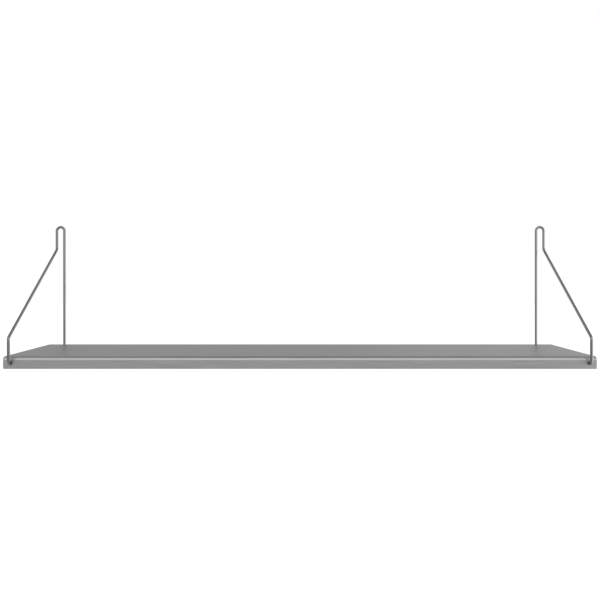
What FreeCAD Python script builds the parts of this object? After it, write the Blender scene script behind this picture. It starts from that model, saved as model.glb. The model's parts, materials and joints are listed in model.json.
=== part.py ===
import FreeCAD, Part
import math
import os

import Sketcher

# A wall shelf: one folded sheet-metal tray, carried by two hangers of bent steel wire.
# Millimetres, +Z up. The origin is the middle of the tray's top face, the front is
# towards -Y and the wall towards +Y.

sizes = {
    # the tray, measured over its folds
    "tray_width": 800,
    "tray_depth": 200,
    "tray_height": 17,
    "sheet_thickness": 1.5,
    "long_fold_radius": 5.5,
    "end_fold_radius": 2.5,
    "rim_bevel": 0.4,
    # the wire and how tightly it is bent, at the middle of the wire
    "wire_diameter": 4,
    "bend_radius": 6,
    "loop_radius": 6,
    # where a hanger stands: its side run from the tray's end, its legs off the flanges
    "end_inset": 10,
    "leg_standoff": 7,
    # heights of a hanger: its front leg over the tray, its slant, and its loop's sides
    "foot_rise": 25.4,
    "slant_rise": 125.3,
    "loop_side": 30,
    # the hooks that pass through the flanges
    "pin_drop": 9.5,
    "pin_reach": 19,
    "pin_clearance": 0.3,
    "pin_chamfer": 0.5,
}

doc = FreeCAD.newDocument("wall_shelf")
sheet = doc.addObject("Spreadsheet::Sheet", "Sizes")
for row, (name, number) in enumerate(sizes.items(), start=1):
    sheet.set(f"A{row}", name)
    sheet.set(f"B{row}", str(number))
    sheet.setAlias(f"B{row}", name)
doc.recompute()


class Size:
    # A length or angle together with the expression that ties it to the sheet.
    def __init__(self, number, text):
        self.number = number
        self.text = text

    def __add__(self, other):
        return Size(self.number + other.number, f"({self.text} + {other.text})")

    def __sub__(self, other):
        return Size(self.number - other.number, f"({self.text} - {other.text})")

    def __neg__(self):
        return self * -1

    def __mul__(self, count):
        return Size(self.number * count, f"({self.text} * ({count}))")

    def __truediv__(self, count):
        return Size(self.number / count, f"({self.text} / {count})")


def named(name):
    return Size(sheet.get(name), f"Sizes.{name}")


tray_width = named("tray_width")
tray_depth = named("tray_depth")
tray_height = named("tray_height")
sheet_thickness = named("sheet_thickness")
long_fold_radius = named("long_fold_radius")
end_fold_radius = named("end_fold_radius")
rim_bevel = named("rim_bevel")
wire_diameter = named("wire_diameter")
bend_radius = named("bend_radius")
loop_radius = named("loop_radius")
foot_rise = named("foot_rise")
shoulder_rise = foot_rise + named("slant_rise")
loop_rise = shoulder_rise + named("loop_side")
pin_drop = named("pin_drop")
pin_reach = named("pin_reach")
pin_chamfer = named("pin_chamfer")
hole_diameter = wire_diameter + named("pin_clearance") * 2

# The side run and the wall leg of a hanger stand a loop apart. Its two hooks point at each
# other, so the line between the legs' feet is the line that the hanger swings about.
side_x = tray_width / 2 - named("end_inset")
wall_x = side_x - loop_radius * 2
leg_y = tray_depth / 2 + named("leg_standoff")
swing_x = (side_x + wall_x) / 2
swing_turn = Size(
    math.degrees(math.atan2(loop_radius.number, leg_y.number)),
    f"atan({loop_radius.text} / {leg_y.text})",
)
swing_half = Size(
    math.hypot(loop_radius.number, leg_y.number),
    f"sqrt({loop_radius.text} ^ 2 + {leg_y.text} ^ 2)",
)
flange_y = (tray_depth - sheet_thickness) / 2
hole_shift = Size(
    loop_radius.number * flange_y.number / leg_y.number,
    f"({loop_radius.text} * {flange_y.text} / {leg_y.text})",
)
zero = Size(0, "0")

# how far a cut or a drawn wire may be off its volume, as a share of it
volume_slack_share = 0.001


def bind(thing, property_name, size):
    thing.setExpression(property_name, size.text)


def add_sketch(body, name, role):
    sketch = body.newObject("Sketcher::SketchObject", name)
    plane = next(f for f in body.Origin.OriginFeatures if f.Role == role)
    sketch.AttachmentSupport = [(plane, "")]
    sketch.MapMode = "FlatFace"
    return sketch


def constrain(sketch, size, kind, *where):
    index = sketch.addConstraint(Sketcher.Constraint(kind, *where, size.number))
    bind(sketch, f"Constraints[{index}]", size)


def pin(sketch, geometry, point, x, y):
    for kind, axis, place in (("DistanceX", -2, x), ("DistanceY", -1, y)):
        if place is zero:
            sketch.addConstraint(Sketcher.Constraint("PointOnObject", geometry, point, axis))
        else:
            constrain(sketch, place, kind, geometry, point)


def vector(corner):
    return FreeCAD.Vector(corner[0].number, corner[1].number, 0)


def add_circle(sketch, x, y, diameter):
    centre = vector((x, y))
    circle = Part.Circle(centre, FreeCAD.Vector(0, 0, 1), diameter.number / 2)
    geometry = sketch.addGeometry(circle)
    pin(sketch, geometry, 3, x, y)
    constrain(sketch, diameter, "Diameter", geometry)


def end_nearest(sketch, geometry, place):
    return min((1, 2), key=lambda point: (sketch.getPoint(geometry, point) - place).Length)


def join(sketch, first, second, place):
    # Two pieces of a run meet at this place with no kink.
    ends = (end_nearest(sketch, first, place), end_nearest(sketch, second, place))
    sketch.addConstraint(Sketcher.Constraint("Tangent", first, ends[0], second, ends[1]))


def add_run(sketch, corners):
    # Straight runs of wire between these corners, with every inner corner bent round.
    points = [vector(corner) for corner in corners]
    radius = bend_radius.number
    starts, bends, ends = [points[0]], [], []
    for before, corner, after in zip(points, points[1:], points[2:]):
        back = (before - corner).normalize()
        on = (after - corner).normalize()
        half = back.getAngle(on) / 2
        middle = corner + (back + on).normalize() * (radius / math.sin(half))
        crown = middle + (corner - middle).normalize() * radius
        ends.append(corner + back * (radius / math.tan(half)))
        starts.append(corner + on * (radius / math.tan(half)))
        bends.append(Part.Arc(ends[-1], crown, starts[-1]))
    ends.append(points[-1])
    lines = [sketch.addGeometry(Part.LineSegment(a, b)) for a, b in zip(starts, ends)]
    for index, bend in enumerate(bends):
        arc = sketch.addGeometry(bend)
        join(sketch, lines[index], arc, ends[index])
        join(sketch, arc, lines[index + 1], starts[index + 1])
        constrain(sketch, bend_radius, "Radius", arc)
        mark = sketch.addGeometry(Part.Point(points[index + 1]), True)
        pin(sketch, mark, 1, *corners[index + 1])
        for line in lines[index : index + 2]:
            sketch.addConstraint(Sketcher.Constraint("PointOnObject", mark, 1, line))
    pin(sketch, lines[0], 1, *corners[0])
    pin(sketch, lines[-1], 2, *corners[-1])


def edges_where(feature, chosen):
    shape = feature.Shape
    return [f"Edge{n}" for n, edge in enumerate(shape.Edges, 1) if chosen(edge.BoundBox)]


def cut_holes(body, name, side_y, x):
    # A pair of round holes through one long flange, for the hooks of both hangers.
    sketch = add_sketch(body, f"{name}_places", "XZ_Plane")
    for side in (-1, 1):
        add_circle(sketch, x * side, -pin_drop, hole_diameter)
    doc.recompute()
    before = body.Shape.Volume
    holes = body.newObject("PartDesign::Pocket", name)
    holes.Profile = sketch
    holes.Type = "ThroughAll"
    holes.Reversed = side_y < 0
    doc.recompute()
    punched = 2 * math.pi * hole_diameter.number**2 / 4 * sheet_thickness.number
    if not math.isclose(before - body.Shape.Volume, punched, rel_tol=volume_slack_share):
        raise ValueError(f"{name} doesn't go through its flange alone")


def fold_ends(body):
    # Takes the top corners off both ends, which are folded tighter than the long sides.
    sketch = add_sketch(body, "end_offcuts", "XZ_Plane")
    radius = end_fold_radius.number
    for side in (-1, 1):
        end_x = tray_width / 2 * side
        start, corner = (end_x - end_fold_radius * side, zero), (end_x, zero)
        finish = (end_x, -end_fold_radius)
        middle = vector((start[0], finish[1]))
        crown = middle + (vector(corner) - middle).normalize() * radius
        top = sketch.addGeometry(Part.LineSegment(vector(start), vector(corner)))
        down = sketch.addGeometry(Part.LineSegment(vector(corner), vector(finish)))
        fold = sketch.addGeometry(Part.Arc(vector(finish), crown, vector(start)))
        sketch.addConstraint(Sketcher.Constraint("Coincident", top, 2, down, 1))
        for line, point, place in ((top, 1, start), (down, 2, finish)):
            meeting = end_nearest(sketch, fold, vector(place))
            sketch.addConstraint(Sketcher.Constraint("Coincident", line, point, fold, meeting))
        pin(sketch, top, 1, *start)
        pin(sketch, top, 2, *corner)
        pin(sketch, down, 2, *finish)
        constrain(sketch, end_fold_radius, "Radius", fold)
    doc.recompute()
    before = body.Shape.Volume
    folds = body.newObject("PartDesign::Pocket", "end_folds")
    folds.Profile = sketch
    folds.Type = "ThroughAll"
    folds.SideType = "Symmetric"
    doc.recompute()
    offcuts = 2 * (1 - math.pi / 4) * radius**2 * tray_depth.number
    least_share = 1 - 2 * long_fold_radius.number / tray_depth.number
    if not offcuts * least_share < before - body.Shape.Volume < offcuts:
        raise ValueError("the end folds don't run along both ends")


def make_tray():
    # Every edge is folded down, the folds meet in closed corners, and the rim's sharp edges
    # are broken.
    body = doc.addObject("PartDesign::Body", "shelf_tray")
    outline = add_sketch(body, "tray_outline", "XY_Plane")
    near = (-tray_width / 2, -tray_depth / 2)
    far = (tray_width / 2, tray_depth / 2)
    corners = [near, (far[0], near[1]), far, (near[0], far[1])]
    for start, end in zip(corners, corners[1:] + corners[:1]):
        outline.addGeometry(Part.LineSegment(vector(start), vector(end)))
    for line in range(4):
        meeting = Sketcher.Constraint("Coincident", line, 2, (line + 1) % 4, 1)
        outline.addConstraint(meeting)
        outline.addConstraint(Sketcher.Constraint(("Horizontal", "Vertical")[line % 2], line))
    pin(outline, 0, 1, *near)
    pin(outline, 2, 1, *far)

    block = body.newObject("PartDesign::Pad", "tray_block")
    block.Profile = outline
    block.Reversed = True
    bind(block, "Length", tray_height)
    doc.recompute()

    middle_z = -tray_height.number / 2
    long_tops = edges_where(block, lambda box: box.ZMin > middle_z and box.XLength > box.YLength)
    folds = body.newObject("PartDesign::Fillet", "long_folds")
    folds.Base = (block, long_tops)
    bind(folds, "Radius", long_fold_radius)
    doc.recompute()
    fold_ends(body)

    folded = body.Tip
    underside = next(
        f"Face{n}"
        for n, face in enumerate(folded.Shape.Faces, 1)
        if face.BoundBox.ZMax < middle_z
    )
    walls = body.newObject("PartDesign::Thickness", "tray_walls")
    walls.Base = (folded, [underside])
    walls.Reversed = True
    bind(walls, "Value", sheet_thickness)
    doc.recompute()

    rim = body.newObject("PartDesign::Chamfer", "tray_rim")
    rim.Base = (walls, edges_where(walls, lambda box: box.ZMax < middle_z))
    bind(rim, "Size", rim_bevel)
    doc.recompute()

    cut_holes(body, "front_holes", -1, swing_x + hole_shift)
    cut_holes(body, "back_holes", 1, swing_x - hole_shift)
    return body


def add_wire(body, name, x, y, run):
    # Wire drawn along a run from the tray's top level, where the leg is upright.
    section = add_sketch(body, f"{name}_section", "XY_Plane")
    add_circle(section, x, y, wire_diameter)
    doc.recompute()
    before = 0 if body.Shape.isNull() else body.Shape.Volume
    wire = body.newObject("PartDesign::AdditivePipe", name)
    wire.Profile = section
    wire.Spine = (run, [f"Edge{n + 1}" for n in range(len(run.Shape.Edges))])
    doc.recompute()
    drawn = run.Shape.Length * math.pi * wire_diameter.number**2 / 4
    if not math.isclose(body.Shape.Volume - before, drawn, rel_tol=volume_slack_share):
        raise ValueError(f"{name} isn't as long as its run")


def make_hanger(label, side):
    # One length of wire: a hook through the front flange, a front leg, a slanting side run
    # up to the wall, a narrow loop for a wall screw, and a wall leg down to the back hook.
    body = doc.addObject("PartDesign::Body", label)

    side_run = add_sketch(body, "side_run", "YZ_Plane")
    bind(side_run, "AttachmentOffset.Base.z", side_x * side)
    shoulder = (leg_y, shoulder_rise)
    add_run(side_run, [(-leg_y, zero), (-leg_y, foot_rise), shoulder, (leg_y, loop_rise)])

    wall_run = add_sketch(body, "wall_run", "XZ_Plane")
    bind(wall_run, "AttachmentOffset.Base.z", -leg_y)
    foot, top = (wall_x * side, zero), (wall_x * side, loop_rise)
    loop_end = (side_x * side, loop_rise)
    loop_crown = (swing_x * side, loop_rise + loop_radius)
    leg = wall_run.addGeometry(Part.LineSegment(vector(foot), vector(top)))
    loop = wall_run.addGeometry(Part.Arc(vector(top), vector(loop_crown), vector(loop_end)))
    wall_run.addConstraint(Sketcher.Constraint("Vertical", leg))
    join(wall_run, leg, loop, vector(top))
    pin(wall_run, leg, 1, *foot)
    pin(wall_run, loop, end_nearest(wall_run, loop, vector(loop_end)), *loop_end)
    constrain(wall_run, loop_rise, "DistanceY", loop, 3)

    hooks = []
    for name, way in (("front_hook", -1), ("back_hook", 1)):
        hook = add_sketch(body, f"{name}_run", "YZ_Plane")
        hook.AttachmentOffset = FreeCAD.Placement(
            FreeCAD.Vector(0, 0, swing_x.number * side),
            FreeCAD.Rotation(FreeCAD.Vector(0, 1, 0), swing_turn.number * side),
        )
        bind(hook, "AttachmentOffset.Base.z", swing_x * side)
        bind(hook, "AttachmentOffset.Rotation.Angle", swing_turn * side)
        leg_foot = (swing_half * way, -pin_drop)
        pin_end = ((swing_half - pin_reach) * way, -pin_drop)
        add_run(hook, [(swing_half * way, zero), leg_foot, pin_end])
        hooks.append((name, hook))
    doc.recompute()

    front, back = (side_x * side, -leg_y), (wall_x * side, leg_y)
    add_wire(body, "side_wire", *front, side_run)
    add_wire(body, "wall_wire", *back, wall_run)
    for (name, hook), place in zip(hooks, (front, back)):
        add_wire(body, name, *place, hook)

    bare = body.Tip
    inside = flange_y.number - sheet_thickness.number
    tips = edges_where(bare, lambda box: -inside < box.YMin and box.YMax < inside)
    ends = body.newObject("PartDesign::Chamfer", "pin_ends")
    ends.Base = (bare, tips)
    bind(ends, "Size", pin_chamfer)
    doc.recompute()
    return body


pieces = [
    make_tray(),
    make_hanger("hanger_left", -1),
    make_hanger("hanger_right", 1),
]
doc.recompute()
for thing in doc.Objects:
    if "Invalid" in thing.State or "Error" in thing.State:
        raise ValueError(f"{thing.Label} failed: {thing.State}")
for piece in pieces:
    shape = piece.Shape
    if shape.isNull() or not shape.isValid() or len(shape.Solids) != 1:
        raise ValueError(f"{piece.Label} isn't one valid solid")

os.makedirs("parts", exist_ok=True)
for piece in pieces:
    piece.Shape.exportStep(f"parts/{piece.Label}.step")
    print(piece.Label, f"{piece.Shape.Volume:.1f} mm3", piece.Shape.BoundBox)
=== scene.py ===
import json
import math

import bmesh
import bpy
from mathutils import Matrix, Vector


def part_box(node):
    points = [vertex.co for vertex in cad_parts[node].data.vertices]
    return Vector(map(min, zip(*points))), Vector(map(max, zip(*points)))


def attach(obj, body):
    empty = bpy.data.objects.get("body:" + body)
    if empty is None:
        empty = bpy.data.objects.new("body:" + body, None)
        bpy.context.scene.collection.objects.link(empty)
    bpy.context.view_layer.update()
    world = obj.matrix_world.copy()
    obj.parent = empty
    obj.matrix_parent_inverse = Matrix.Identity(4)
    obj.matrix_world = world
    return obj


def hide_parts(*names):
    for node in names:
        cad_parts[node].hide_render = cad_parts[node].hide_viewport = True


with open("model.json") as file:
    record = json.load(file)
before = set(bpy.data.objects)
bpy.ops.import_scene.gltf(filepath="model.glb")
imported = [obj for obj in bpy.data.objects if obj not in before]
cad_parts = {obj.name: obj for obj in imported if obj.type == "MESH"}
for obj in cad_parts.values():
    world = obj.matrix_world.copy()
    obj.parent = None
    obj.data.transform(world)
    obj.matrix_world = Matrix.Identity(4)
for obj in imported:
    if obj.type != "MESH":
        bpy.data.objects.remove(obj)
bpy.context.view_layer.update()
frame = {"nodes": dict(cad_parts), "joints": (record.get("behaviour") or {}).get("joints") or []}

# A wall shelf: a folded steel tray hung at each end on one bent wire.
# The front is towards -Y, and the origin is the middle of the tray's top face.

mm = 0.001  # sizes are written in millimetres, the frame is in metres
mergeGap = 0.001 * mm  # points nearer than this are one point
mixA, mixB, mixResult = 6, 7, 2  # the colour sockets of a Mix node
noiseLow, noiseHigh = 0.35, 0.65  # nearly all of a noise texture lies between these
scene = bpy.context.scene
scene.view_settings.view_transform = "Standard"
print("frame loaded:", ", ".join(sorted(frame["nodes"])))


def linear(hexColour):
    # an sRGB hex colour as linear red, green, blue and alpha
    parts = [int(hexColour[i:i + 2], 16) / 255 for i in (1, 3, 5)]
    return [p / 12.92 if p <= 0.04045 else ((p + 0.055) / 1.055) ** 2.4 for p in parts] + [1]


def addNode(tree, kind, inputs=None, **settings):
    # inputs holds plain values, and sockets to link, by socket name or number
    node = tree.nodes.new(kind)
    for name, value in settings.items():
        setattr(node, name, value)
    for key, value in (inputs or {}).items():
        if isinstance(value, bpy.types.NodeSocket):
            tree.links.new(value, node.inputs[key])
        else:
            node.inputs[key].default_value = value
    return node


def newMaterial(name):
    # a material, and its node tree with nothing in it yet
    material = bpy.data.materials.new(name)
    material.use_nodes = True
    material.node_tree.nodes.clear()
    return material, material.node_tree


def newPiece(name, mesh):
    piece = bpy.data.objects.new(name, mesh)
    scene.collection.objects.link(piece)
    return piece


def settled(piece):
    # the piece's modifiers are worked into a plain mesh
    graph = bpy.context.evaluated_depsgraph_get()
    mesh = bpy.data.meshes.new_from_object(piece.evaluated_get(graph))
    piece.modifiers.clear()
    piece.data = mesh


def skin(rings):
    # quads between each ring of points and the next, and from the last ring to the first
    builder = bmesh.new()
    made = [[builder.verts.new(point) for point in ring] for ring in rings]
    for ring, following in zip(made, made[1:] + made[:1]):
        for n in range(len(ring) - 1):
            builder.faces.new((ring[n], following[n], following[n + 1], ring[n + 1]))
    return builder


def closedMesh(name, builder):
    # doubles merged, open ends filled and faces outwards
    bmesh.ops.remove_doubles(builder, verts=builder.verts, dist=mergeGap)
    bmesh.ops.holes_fill(builder, edges=[e for e in builder.edges if e.is_boundary])
    bmesh.ops.recalc_face_normals(builder, faces=builder.faces)
    for face in builder.faces:
        face.smooth = True
    mesh = bpy.data.meshes.new(name)
    builder.to_mesh(mesh)
    builder.free()
    return mesh


# Stainless steel sheet with a satin finish, brushed along its length before it was folded.
# It gives soft grey reflections with faint streaks along the grain, and a smoother line along
# the rim, where hands and cloths have rubbed it.
sheetSteel = {
    "colour": "#b5b5b5",
    "grainColour": "#a7a7a7",
    "rubbedColour": "#ababab",
    "grazingTint": "#a9a9a9",
    "roughness": 0.4,
    "roughnessChange": 0.06,
    "rubbedRoughness": 0.22,
    "rubbedWidth": 1.2,
    "grainLength": 70.0,
    "grainWidth": 0.7,  # real brush lines are about 0.1 mm, too fine to show
    "grainDepth": 0.004,
    "grainDetail": 3,
    "smearLength": 120.0,
    "smearWidth": 35.0,
    "smearDetail": 2,
}


def brushedStainless(finish):
    material, tree = newMaterial("satin_stainless_sheet")
    blank = addNode(tree, "ShaderNodeAttribute", attribute_name="blank")
    patterns = []
    for name in ("grain", "smear"):
        sizes = [finish[name + way] * mm for way in ("Length", "Width", "Width")]
        place = addNode(
            tree,
            "ShaderNodeMapping",
            {"Vector": blank.outputs["Vector"], "Scale": [1 / size for size in sizes]},
        )
        pattern = addNode(
            tree,
            "ShaderNodeTexNoise",
            {"Vector": place.outputs[0], "Scale": 1, "Detail": finish[name + "Detail"]},
        )
        patterns.append(pattern.outputs["Fac"])
    grain, smear = patterns
    both = addNode(tree, "ShaderNodeMath", {0: grain, 1: smear}, operation="ADD")
    brushed = addNode(
        tree,
        "ShaderNodeMapRange",
        {
            "Value": both.outputs[0],
            "From Min": 2 * noiseLow,
            "From Max": 2 * noiseHigh,
            "To Min": finish["roughness"] - finish["roughnessChange"] / 2,
            "To Max": finish["roughness"] + finish["roughnessChange"] / 2,
        },
    )
    fromRim = addNode(tree, "ShaderNodeAttribute", attribute_name="fromRim")
    rubbed = addNode(
        tree,
        "ShaderNodeMapRange",
        {
            "Value": fromRim.outputs["Fac"],
            "From Max": finish["rubbedWidth"] * mm,
            "To Min": 1,
            "To Max": 0,
        },
        interpolation_type="SMOOTHSTEP",
    )
    roughness = addNode(
        tree,
        "ShaderNodeMix",
        {"Factor": rubbed.outputs[0], "A": brushed.outputs[0], "B": finish["rubbedRoughness"]},
    )
    lines = addNode(
        tree,
        "ShaderNodeMapRange",
        {"Value": grain, "From Min": noiseLow, "From Max": noiseHigh},
    )
    streaks = addNode(tree, "ShaderNodeMix", {"Factor": lines.outputs[0]}, data_type="RGBA")
    streaks.inputs[mixA].default_value = linear(finish["grainColour"])
    streaks.inputs[mixB].default_value = linear(finish["colour"])
    colour = addNode(
        tree,
        "ShaderNodeMix",
        {"Factor": rubbed.outputs[0], mixA: streaks.outputs[mixResult]},
        data_type="RGBA",
    )
    colour.inputs[mixB].default_value = linear(finish["rubbedColour"])
    bump = addNode(
        tree,
        "ShaderNodeBump",
        {"Height": grain, "Distance": finish["grainDepth"] * mm, "Strength": 1},
    )
    steel = addNode(
        tree,
        "ShaderNodeBsdfPrincipled",
        {
            "Base Color": colour.outputs[mixResult],
            "Specular Tint": linear(finish["grazingTint"]),
            "Metallic": 1,
            "Roughness": roughness.outputs[0],
            "Normal": bump.outputs[0],
        },
    )
    addNode(tree, "ShaderNodeOutputMaterial", {"Surface": steel.outputs[0]})
    return material


# Stainless wire, cold drawn through a die. It is a little darker than the sheet, with fine
# lines along its length, so light runs down it in one soft stripe.
wireSteel = {
    "colour": "#8c8c8c",
    "lineColour": "#848484",
    "grazingTint": "#d8d8d8",
    "roughness": 0.3,
    "roughnessChange": 0.06,
    "lineLength": 90.0,
    "lineWidth": 0.5,  # real die lines are a few hundredths of a millimetre
    "lineDepth": 0.001,
    "lineDetail": 3,
}


def drawnWire(finish):
    material, tree = newMaterial("drawn_stainless_wire")
    unrolled = addNode(tree, "ShaderNodeAttribute", attribute_name="unrolled")
    lineSize = [1 / (finish[k] * mm) for k in ("lineWidth", "lineWidth", "lineLength")]
    linePlace = addNode(
        tree, "ShaderNodeMapping", {"Vector": unrolled.outputs["Vector"], "Scale": lineSize}
    )
    lines = addNode(
        tree,
        "ShaderNodeTexNoise",
        {"Vector": linePlace.outputs[0], "Scale": 1, "Detail": finish["lineDetail"]},
    )
    drawn = addNode(
        tree,
        "ShaderNodeMapRange",
        {"Value": lines.outputs["Fac"], "From Min": noiseLow, "From Max": noiseHigh},
    )
    colour = addNode(tree, "ShaderNodeMix", {"Factor": drawn.outputs[0]}, data_type="RGBA")
    colour.inputs[mixA].default_value = linear(finish["lineColour"])
    colour.inputs[mixB].default_value = linear(finish["colour"])
    roughness = addNode(
        tree,
        "ShaderNodeMapRange",
        {
            "Value": lines.outputs["Fac"],
            "From Min": noiseLow,
            "From Max": noiseHigh,
            "To Min": finish["roughness"] - finish["roughnessChange"] / 2,
            "To Max": finish["roughness"] + finish["roughnessChange"] / 2,
        },
    )
    bump = addNode(
        tree,
        "ShaderNodeBump",
        {"Height": lines.outputs["Fac"], "Distance": finish["lineDepth"] * mm, "Strength": 1},
    )
    steel = addNode(
        tree,
        "ShaderNodeBsdfPrincipled",
        {
            "Base Color": colour.outputs[mixResult],
            "Specular Tint": linear(finish["grazingTint"]),
            "Metallic": 1,
            "Roughness": roughness.outputs[0],
            "Normal": bump.outputs[0],
        },
    )
    addNode(tree, "ShaderNodeOutputMaterial", {"Surface": steel.outputs[0]})
    return material


# The tray: one sheet folded down on all four sides, with closed corners that are ground smooth.
tray = {
    "longFold": 5.5,  # outside radius along the front and back
    "endFold": 2.5,  # outside radius along the two ends
    "cornerRadius": 0.6,
    "sheet": 1.5,
    "rimBevel": 0.4,
    "hole": 4.6,
    "holeBevel": 0.2,
    "foldSteps": 16,
    "cornerSteps": 6,
    "holeSteps": 48,
    "sharpAngle": 30,  # a bend of more degrees than this is shaded as an edge
    "flatWeight": 100,  # how far large flat faces set the shading beside them
}
trayLow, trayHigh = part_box("shelf_tray")


def foldedSkin(size, depth):
    # one skin of the folded sheet, this deep below its outer one: a list of places from the top
    # down, each with how far the end and the long fold reach out there, and its height
    folds = [(size[k] - depth) * mm for k in ("endFold", "longFold")]
    quarter = [math.pi / 2 * step / size["foldSteps"] for step in range(size["foldSteps"] + 1)]
    drops = sorted({fold * (1 - math.cos(a)) for fold in folds for a in quarter})
    places = []
    for drop in drops:
        reach = [math.sqrt(fold**2 - max(fold - drop, 0) ** 2) for fold in folds]
        places.append((*reach, -drop - depth * mm))
    return places


def traySection(size):
    # from the top face over the folds, down the flanges, round the rim and back up inside
    outer, inner = foldedSkin(size, 0), foldedSkin(size, size["sheet"])
    bevel, bottom = size["rimBevel"] * mm, trayLow.z
    rim = []
    for (end, front, _), way in ((outer[-1], -1), (inner[-1], 1)):
        broken = [(end, front, bottom + bevel), (end + way * bevel, front + way * bevel, bottom)]
        rim += broken[::-way]
    return outer + rim + inner[::-1]


def trayShell(size):
    # the section runs straight along each side and round a small corner into the next
    right, back = trayHigh.x - size["endFold"] * mm, trayHigh.y - size["longFold"] * mm
    rings = []
    for number, (sideX, sideY) in enumerate(((1, 1), (-1, 1), (-1, -1), (1, -1))):
        for step in range(size["cornerSteps"] + 1):
            turn = math.pi / 2 * (number + step / size["cornerSteps"])
            ring = []
            for end, front, z in traySection(size):
                radius = min(end, front, size["cornerRadius"] * mm)
                x = sideX * (right + end - radius) + radius * math.cos(turn)
                y = sideY * (back + front - radius) + radius * math.sin(turn)
                ring.append((x, y, z))
            rings.append(ring)
    return closedMesh("trayShell", skin(rings))


def holeCutter(size):
    # a plug for each hook hole, where the line between a hanger's hooks meets the flanges. It flares
    # at 45 degrees through both faces of the sheet, which breaks the hole's edges
    sheet, bevel = size["sheet"] * mm, size["holeBevel"] * mm
    radius = size["hole"] * mm / 2
    profile = [(-sheet, radius + bevel + sheet / 2), (bevel - sheet / 2, radius)]
    profile += [(-along, out) for along, out in reversed(profile)]
    whole = bmesh.new()
    for joint in frame["joints"]:
        swing, axis = Vector(joint["pos_m"]), Vector(joint["axis"])
        for y in (trayLow.y + sheet / 2, trayHigh.y - sheet / 2):
            centre = swing + axis * (y / axis.y)
            rings = []
            for step in range(size["holeSteps"]):
                turn = 2 * math.pi * step / size["holeSteps"]
                rings.append(
                    [centre + Vector((o * math.cos(turn), a, o * math.sin(turn))) for a, o in profile]
                )
            whole.from_mesh(closedMesh("holePlug", skin(rings)))
    mesh = bpy.data.meshes.new("holeCutter")
    whole.to_mesh(mesh)
    whole.free()
    return newPiece("holeCutter", mesh)


def unfolded(point, size):
    # where a point of the tray lay on the flat sheet before the edges were turned down
    flat = Vector((point.x, point.y, 0))
    axis = 0 if trayHigh.x - abs(point.x) < trayHigh.y - abs(point.y) else 1
    fold = size[("endFold", "longFold")[axis]] * mm
    out = max(abs(point[axis]) - trayHigh[axis] + fold, 0)
    if point.z > -fold:
        travel = fold * math.atan2(out, point.z + fold)
    else:
        travel = fold * math.pi / 2 - fold - point.z
    flat[axis] += math.copysign(travel - out, point[axis])
    return flat


def makeTray(size, material):
    piece = newPiece("steel_tray", trayShell(size))
    cutter = holeCutter(size)
    holes = piece.modifiers.new("hookHoles", "BOOLEAN")
    holes.object = cutter
    holes.solver = "EXACT"
    settled(piece)
    bpy.data.objects.remove(cutter)
    piece.data.set_sharp_from_angle(angle=math.radians(size["sharpAngle"]))
    flats = piece.modifiers.new("flatFaces", "WEIGHTED_NORMAL")
    flats.keep_sharp = True
    flats.weight = size["flatWeight"]
    settled(piece)
    blank = piece.data.attributes.new("blank", "FLOAT_VECTOR", "POINT")
    for vertex, place in zip(piece.data.vertices, blank.data):
        place.vector = unfolded(vertex.co, size)
    fromRim = piece.data.attributes.new("fromRim", "FLOAT", "POINT")
    for vertex, rise in zip(piece.data.vertices, fromRim.data):
        rise.value = vertex.co.z - trayLow.z
    piece.data.materials.clear()
    piece.data.materials.append(material)
    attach(piece, "tray")
    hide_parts("shelf_tray")
    print("tray made:", len(piece.data.polygons), "faces")


makeTray(tray, brushedStainless(sheetSteel))


# Each hanger: one wire that hooks through the front flange, slants up to the wall, turns over
# in a narrow loop and comes down to hook through the back flange.
hanger = {
    "wire": 4.0,
    "standOff": 7.0,  # the legs stand this far off the flanges
    "footRise": 25.4,
    "shoulderRise": 150.7,
    "loopTop": 186.7,
    "hookReach": 19.0,
    "bend": 6.0,
    "endBevel": 0.5,
    "bendSteps": 14,
    "roundSteps": 32,
    "endSteps": 2,
    "cutAngle": 60,  # only the cut ends have edges of more degrees than this
    "sharpAngle": 40,
}


def hangerCorners(size, joint):
    # the corners of the wire's middle line, from the front hook's end to the back one's
    swing, along = Vector(joint["pos_m"]), Vector(joint["axis"])
    along *= -1 if along.y < 0 else 1
    legY = trayHigh.y + size["standOff"] * mm
    front, back = swing - along * (legY / along.y), swing + along * (legY / along.y)
    reach = along * size["hookReach"] * mm
    foot, shoulder, top = (size[k] * mm for k in ("footRise", "shoulderRise", "loopTop"))
    return [
        front + reach,
        front,
        Vector((front.x, front.y, foot)),
        Vector((front.x, back.y, shoulder)),
        Vector((front.x, back.y, top)),
        Vector((back.x, back.y, top)),
        back,
        back - reach,
    ]


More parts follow.
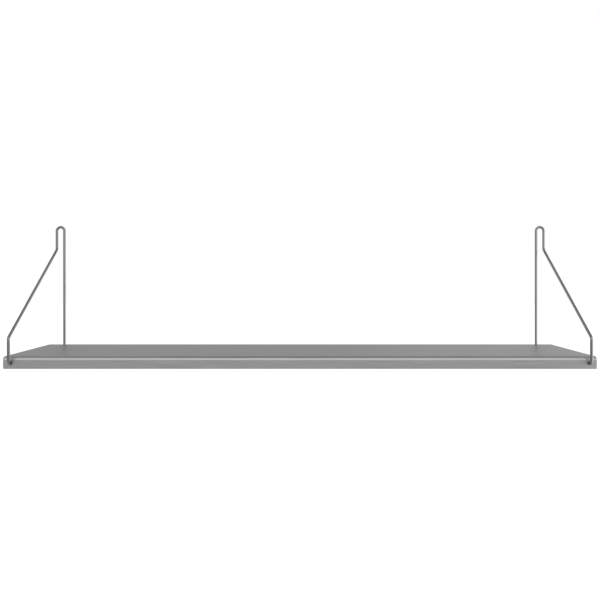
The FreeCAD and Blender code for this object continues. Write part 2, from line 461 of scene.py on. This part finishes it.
def wireTree(material):
    # sweeps a round wire along a line of corners, and keeps where each of its points lay on the
    # straight wire
    tree = bpy.data.node_groups.new("bentWire", "GeometryNodeTree")
    face = tree.interface
    face.new_socket("Corners", in_out="INPUT", socket_type="NodeSocketGeometry")
    for name, kind in (
        ("Wire diameter", "NodeSocketFloat"),
        ("Bend radius", "NodeSocketFloat"),
        ("Bend steps", "NodeSocketInt"),
        ("Round steps", "NodeSocketInt"),
    ):
        face.new_socket(name, in_out="INPUT", socket_type=kind)
    face.new_socket("Wire", in_out="OUTPUT", socket_type="NodeSocketGeometry")
    given = addNode(tree, "NodeGroupInput").outputs
    corners = addNode(tree, "GeometryNodeMeshToCurve", {"Mesh": given["Corners"]})
    line = addNode(
        tree,
        "GeometryNodeFilletCurve",
        {
            "Curve": corners.outputs[0],
            "Count": given["Bend steps"],
            "Radius": given["Bend radius"],
            "Limit Radius": True,
        },
        mode="POLY",
    )
    travel = addNode(tree, "GeometryNodeSplineParameter")
    marked = addNode(
        tree,
        "GeometryNodeStoreNamedAttribute",
        {"Geometry": line.outputs[0], "Name": "travel", "Value": travel.outputs["Length"]},
        data_type="FLOAT",
        domain="POINT",
    )
    radius = addNode(tree, "ShaderNodeMath", {0: given["Wire diameter"], 1: 2}, operation="DIVIDE")
    ring = addNode(
        tree,
        "GeometryNodeCurvePrimitiveCircle",
        {"Resolution": given["Round steps"], "Radius": radius.outputs[0]},
    )
    section = addNode(
        tree,
        "GeometryNodeStoreNamedAttribute",
        {
            "Geometry": ring.outputs[0],
            "Name": "across",
            "Value": addNode(tree, "GeometryNodeInputPosition").outputs[0],
        },
        data_type="FLOAT_VECTOR",
        domain="POINT",
    )
    swept = addNode(
        tree,
        "GeometryNodeCurveToMesh",
        {"Curve": marked.outputs[0], "Profile Curve": section.outputs[0], "Fill Caps": True},
    )
    across = addNode(
        tree, "GeometryNodeInputNamedAttribute", {"Name": "across"}, data_type="FLOAT_VECTOR"
    )
    length = addNode(tree, "GeometryNodeInputNamedAttribute", {"Name": "travel"}, data_type="FLOAT")
    apart = addNode(tree, "ShaderNodeSeparateXYZ", {0: across.outputs["Attribute"]})
    straight = addNode(
        tree,
        "ShaderNodeCombineXYZ",
        {"X": apart.outputs["X"], "Y": apart.outputs["Y"], "Z": length.outputs["Attribute"]},
    )
    unrolled = addNode(
        tree,
        "GeometryNodeStoreNamedAttribute",
        {"Geometry": swept.outputs[0], "Name": "unrolled", "Value": straight.outputs[0]},
        data_type="FLOAT_VECTOR",
        domain="POINT",
    )
    merged = addNode(
        tree, "GeometryNodeMergeByDistance", {"Geometry": unrolled.outputs[0], "Distance": mergeGap}
    )
    real = addNode(tree, "GeometryNodeRealizeInstances", {"Geometry": merged.outputs[0]})
    done = addNode(tree, "GeometryNodeSetMaterial", {"Geometry": real.outputs[0], "Material": material})
    addNode(tree, "NodeGroupOutput", {"Wire": done.outputs[0]})
    return tree


def makeHanger(size, side, joint, tree):
    line = bpy.data.meshes.new("hangerLine")
    corners = hangerCorners(size, joint)
    line.from_pydata(corners, [(n, n + 1) for n in range(len(corners) - 1)], [])
    piece = newPiece(f"wire_hanger_{side}", line)
    bent = piece.modifiers.new("bentWire", "NODES")
    bent.node_group = tree
    values = {
        "Wire diameter": size["wire"] * mm,
        "Bend radius": size["bend"] * mm,
        "Bend steps": size["bendSteps"],
        "Round steps": size["roundSteps"],
    }
    for socket in tree.interface.items_tree:
        if socket.name in values:
            bent[socket.identifier] = values[socket.name]
    ends = piece.modifiers.new("cutEnds", "BEVEL")
    ends.width = size["endBevel"] * mm
    ends.segments = size["endSteps"]
    ends.limit_method = "ANGLE"
    ends.angle_limit = math.radians(size["cutAngle"])
    settled(piece)
    piece.data.shade_smooth()
    piece.data.set_sharp_from_angle(angle=math.radians(size["sharpAngle"]))
    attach(piece, joint["child"])
    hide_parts(f"hanger_{side}")
    print("hanger made:", side, len(piece.data.polygons), "faces")


bentWire = wireTree(drawnWire(wireSteel))
for swing in frame["joints"]:
    makeHanger(hanger, swing["child"].split("_")[0], swing, bentWire)


# The studio: a white sweep behind the shelf, a grey room in front of it, and soft lamps.
studio = {
    "white": "#ffffff",
    "room": "#dcdcdc",
    "roomUpTo": -0.25,  # how far the world's directions lean back where the room starts to fade
    "whiteFrom": 0.35,
    "ceiling": "#6a6a6a",
    "wallsUpTo": 0.74,  # sine of the elevation where the walls start to fade
    "ceilingFrom": 0.99,
    "sweepFrom": 0.0,  # metres behind the shelf where the floor starts to glow in reflections
    "sweepUpTo": 1.2,
    "sweepLeast": 0.04,
    "floorDrop": 0.9,
    "floorSize": 60.0,
    "floorColour": "#d0d0d0",
    "floorGlow": 0.72,
}


def mirroredWhite(tree, ray, place, start, full, least):
    # how far metal and glass see white in a direction or at a place: fully behind the shelf
    apart = addNode(tree, "ShaderNodeSeparateXYZ", {0: place})
    behind = addNode(
        tree,
        "ShaderNodeMapRange",
        {"Value": apart.outputs["Y"], "From Min": start, "From Max": full, "To Min": least},
        interpolation_type="SMOOTHSTEP",
    )
    mirrored = addNode(
        tree,
        "ShaderNodeMath",
        {0: ray.outputs["Is Glossy Ray"], 1: ray.outputs["Is Transmission Ray"]},
        operation="MAXIMUM",
    )
    return addNode(
        tree, "ShaderNodeMath", {0: mirrored.outputs[0], 1: behind.outputs[0]}, operation="MULTIPLY"
    )


def makeWorld(size):
    world = bpy.data.worlds.new("studio")
    world.use_nodes = True
    scene.world = world
    tree = world.node_tree
    tree.nodes.clear()
    ray = addNode(tree, "ShaderNodeLightPath")
    toward = addNode(tree, "ShaderNodeTexCoord").outputs["Generated"]
    behind = mirroredWhite(tree, ray, toward, size["roomUpTo"], size["whiteFrom"], 0)
    height = addNode(tree, "ShaderNodeSeparateXYZ", {0: toward})
    over = addNode(
        tree,
        "ShaderNodeMapRange",
        {"Value": height.outputs["Z"], "From Min": size["wallsUpTo"], "From Max": size["ceilingFrom"]},
        interpolation_type="SMOOTHSTEP",
    )
    colour = linear(size["room"])
    for factor, name in (
        (behind.outputs[0], "white"),
        (over.outputs[0], "ceiling"),
        (ray.outputs["Is Camera Ray"], "white"),
    ):
        inputs = {"Factor": factor, mixA: colour, mixB: linear(size[name])}
        colour = addNode(tree, "ShaderNodeMix", inputs, data_type="RGBA").outputs[mixResult]
    sky = addNode(tree, "ShaderNodeBackground", {"Color": colour, "Strength": 1})
    addNode(tree, "ShaderNodeOutputWorld", {"Surface": sky.outputs[0]})


def makeFloor(size):
    # it keeps the object's shadow, and its own glow lifts the rest of it to white
    material, tree = newMaterial("white_floor")
    ray = addNode(tree, "ShaderNodeLightPath")
    place = addNode(tree, "ShaderNodeTexCoord").outputs["Object"]
    behind = mirroredWhite(tree, ray, place, size["sweepFrom"], size["sweepUpTo"], size["sweepLeast"])
    seen = addNode(
        tree,
        "ShaderNodeMath",
        {0: ray.outputs["Is Camera Ray"], 1: behind.outputs[0]},
        operation="MAXIMUM",
    )
    glow = addNode(
        tree, "ShaderNodeMath", {0: seen.outputs[0], 1: size["floorGlow"]}, operation="MULTIPLY"
    )
    paper = addNode(
        tree,
        "ShaderNodeBsdfPrincipled",
        {
            "Base Color": linear(size["floorColour"]),
            "Roughness": 1,
            "Specular IOR Level": 0,
            "Emission Color": linear(size["white"]),
            "Emission Strength": glow.outputs[0],
        },
    )
    addNode(tree, "ShaderNodeOutputMaterial", {"Surface": paper.outputs[0]})
    half = size["floorSize"] / 2
    mesh = bpy.data.meshes.new("floor")
    mesh.from_pydata(
        [(x * half, y * half, -size["floorDrop"]) for x, y in ((-1, -1), (1, -1), (1, 1), (-1, 1))],
        [],
        [(0, 1, 2, 3)],
    )
    mesh.materials.append(material)
    newPiece("floor", mesh)


lamps = {
    # name: place, width, height, turn about its own middle in degrees, and watts
    "frontSoftbox": ((0.0, -2.4, 1.5), 4.4, 3.0, 0, 26.8),
    "rightSoftbox": ((0.85, -0.1, -0.05), 0.7, 0.8, 0, 3.7),
    "backSoftbox": ((1.58, 2.43, 0.5), 2.2, 2.2, 45, 3.5),
}


def makeLamps(kinds):
    for name, (place, width, height, turn, power) in kinds.items():
        light = bpy.data.lights.new(name, "AREA")
        light.shape = "RECTANGLE"
        light.size, light.size_y = width, height
        light.energy = power
        lamp = bpy.data.objects.new(name, light)
        lamp.location = place
        facing = (-Vector(place)).to_track_quat("-Z", "Y").to_matrix()
        lamp.rotation_euler = (facing @ Matrix.Rotation(math.radians(turn), 3, "Z")).to_euler()
        lamp.visible_camera = False
        scene.collection.objects.link(lamp)


makeWorld(studio)
makeFloor(studio)
makeLamps(lamps)
print("studio lit")


# The camera stands level in front of the shelf, a little above its top.
camera = {
    "aside": 2.0,
    "distance": 1084.0,  # from the tray's front face
    "rise": 105.74,
    "lens": 48.32,
    "vanishing": (301.5, 277.73),  # column and row of the picture
    "picture": 600,
}


def makeCamera(size):
    lens = bpy.data.cameras.new("camera")
    lens.lens = size["lens"]
    column, row = (place / size["picture"] - 0.5 for place in size["vanishing"])
    lens.shift_x, lens.shift_y = -column, row
    eye = bpy.data.objects.new("camera", lens)
    eye.location = (size["aside"] * mm, trayLow.y - size["distance"] * mm, size["rise"] * mm)
    eye.rotation_euler = (math.pi / 2, 0, 0)
    scene.collection.objects.link(eye)
    scene.camera = eye


makeCamera(camera)
print("camera set")
